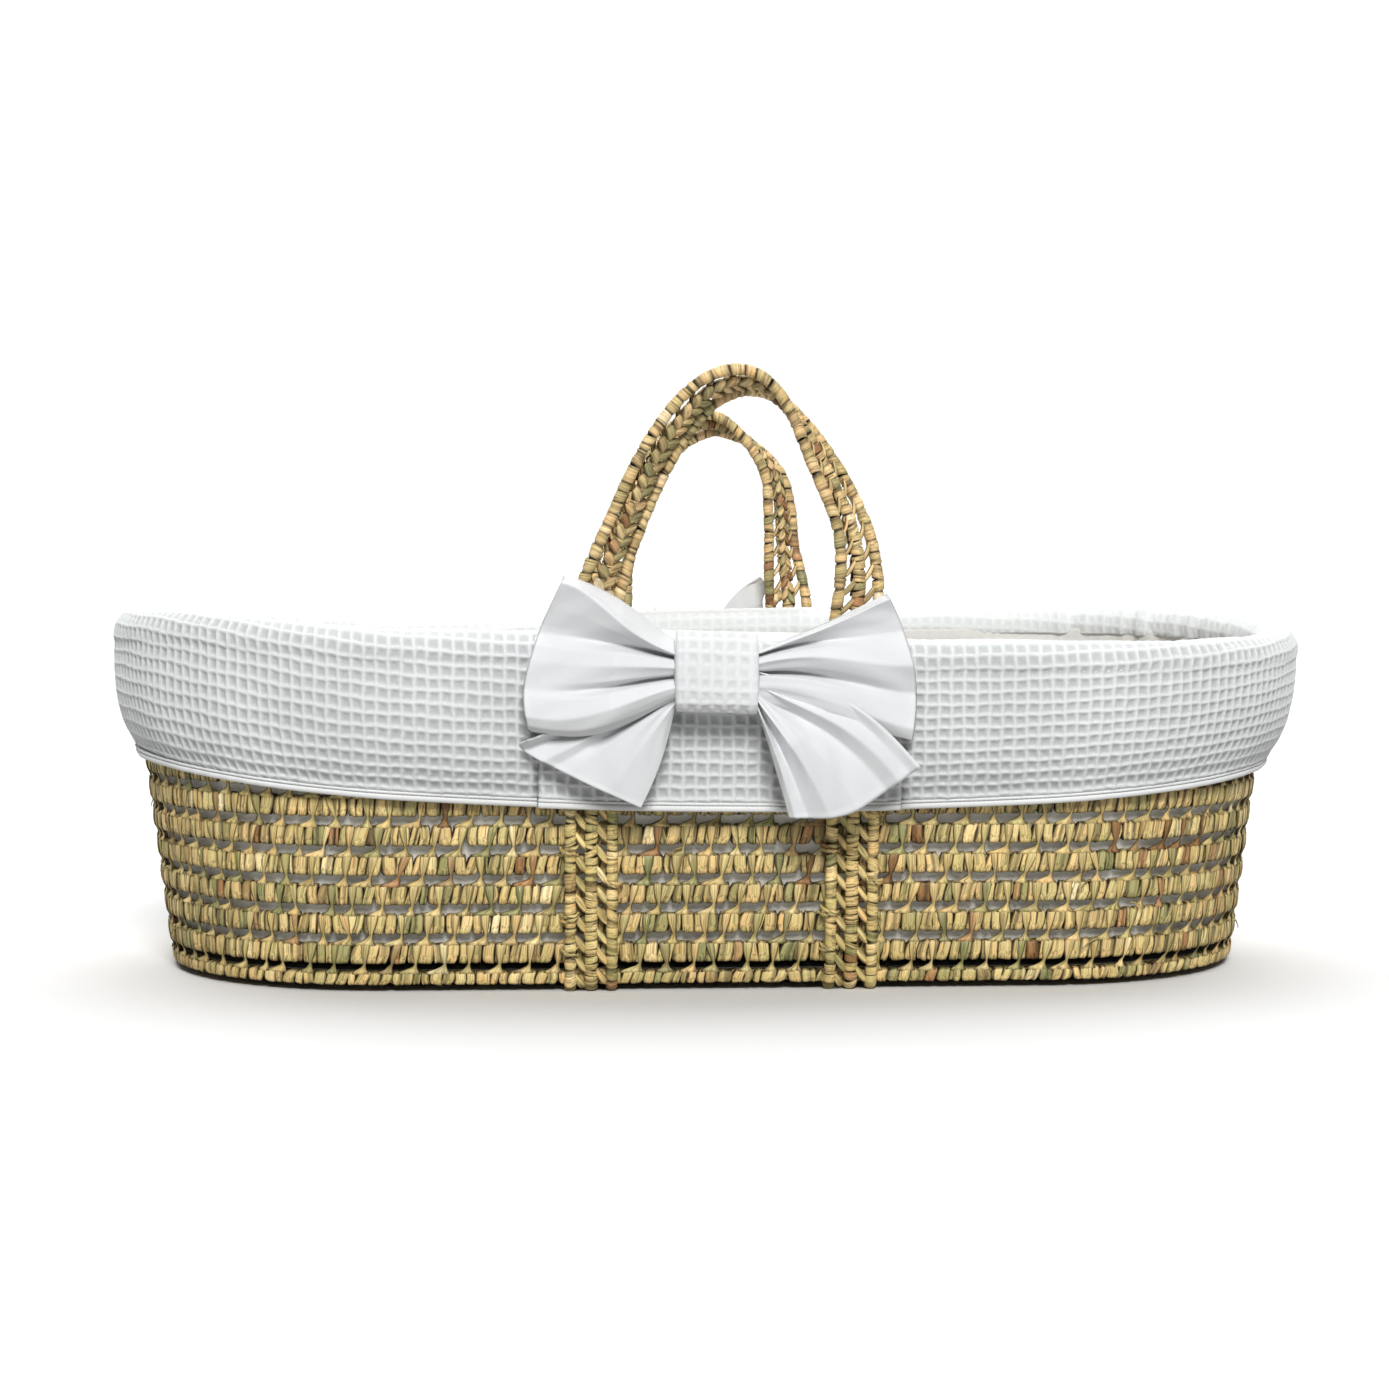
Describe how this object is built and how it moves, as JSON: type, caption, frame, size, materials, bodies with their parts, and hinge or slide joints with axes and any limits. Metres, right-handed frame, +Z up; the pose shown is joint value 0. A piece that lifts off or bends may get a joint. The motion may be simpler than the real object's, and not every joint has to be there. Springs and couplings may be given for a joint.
{
  "type": "moses basket",
  "caption": "Oval woven palm-leaf baby basket with two arched openwork handles, a lift-out mattress, and a padded white waffle-cotton dressing with a bow on each side.",
  "frame": {"origin": "on the ground below the middle of the basket, at the bottom centre of its bounding box", "axes": "+X along the basket's length, -Y towards its front bow, +Z up"},
  "size_m": [0.853, 0.462, 0.4227],
  "materials": {
    "palm_leaf": "dry satin leaf strips",
    "palm_ties": "dry satin leaf strips",
    "waffle_cotton": "matte waffle weave",
    "plain_cotton": "smooth plain-woven cotton",
    "cotton_binding": "smooth bias binding",
    "cotton_lining": "matte waffle weave",
    "mattress_cover": "matte jersey"
  },
  "bodies": {
    "basket": {"base_panel": "palm_leaf", "under_strap_left": "palm_leaf", "under_strap_right": "palm_leaf", "wall_course_00": "palm_leaf", "wall_course_01": "palm_leaf", "wall_course_02": "palm_leaf", "wall_course_03": "palm_leaf", "wall_course_04": "palm_leaf", "wall_course_05": "palm_leaf", "wall_course_06": "palm_leaf", "wall_course_07": "palm_leaf", "wall_course_08": "palm_leaf", "wall_course_09": "palm_leaf", "wall_course_10": "palm_leaf", "wall_course_11": "palm_leaf", "course_ties": "palm_ties", "wall_strap_front_left": "palm_leaf", "wall_strap_front_right": "palm_leaf", "wall_strap_rear_left": "palm_leaf", "wall_strap_rear_right": "palm_leaf", "strap_lashings": "palm_ties", "liner_wall": "cotton_lining", "liner_floor": "cotton_lining", "rim_bumper": "waffle_cotton", "skirt_left": "waffle_cotton", "skirt_right": "waffle_cotton", "skirt_hem_left": "cotton_binding", "skirt_hem_right": "cotton_binding", "flap_front": "waffle_cotton", "flap_rear": "waffle_cotton", "flap_hem_front": "cotton_binding", "flap_hem_rear": "cotton_binding", "slit_binding_front": "cotton_binding", "slit_binding_rear": "cotton_binding", "bow_wings_front": "plain_cotton", "bow_tails_front": "plain_cotton", "bow_knot_front": "waffle_cotton", "bow_wings_rear": "plain_cotton", "bow_tails_rear": "plain_cotton", "bow_knot_rear": "waffle_cotton"},
    "front_handle": {"front_handle_knuckles": "palm_leaf", "front_handle_cord_1": "palm_leaf", "front_handle_cord_2": "palm_leaf", "front_handle_cord_3": "palm_leaf", "front_handle_lattice": "palm_ties"},
    "rear_handle": {"rear_handle_knuckles": "palm_leaf", "rear_handle_cord_1": "palm_leaf", "rear_handle_cord_2": "palm_leaf", "rear_handle_cord_3": "palm_leaf", "rear_handle_lattice": "palm_ties"},
    "mattress": {"mattress": "mattress_cover"}
  },
  "joints": [
    {"name": "front_handle_swing", "type": "hinge", "parent": "basket", "child": "front_handle", "pos_m": [0, -0.1946, 0.2496], "axis": [-1, 0, 0], "range_deg": [-5, 75]},
    {"name": "rear_handle_swing", "type": "hinge", "parent": "basket", "child": "rear_handle", "pos_m": [0, 0.1946, 0.2496], "axis": [1, 0, 0], "range_deg": [-5, 75]},
    {"name": "mattress_lift", "type": "slide", "parent": "basket", "child": "mattress", "axis": [0, 0, 1], "range_m": [0, 0.42]}
  ]
}
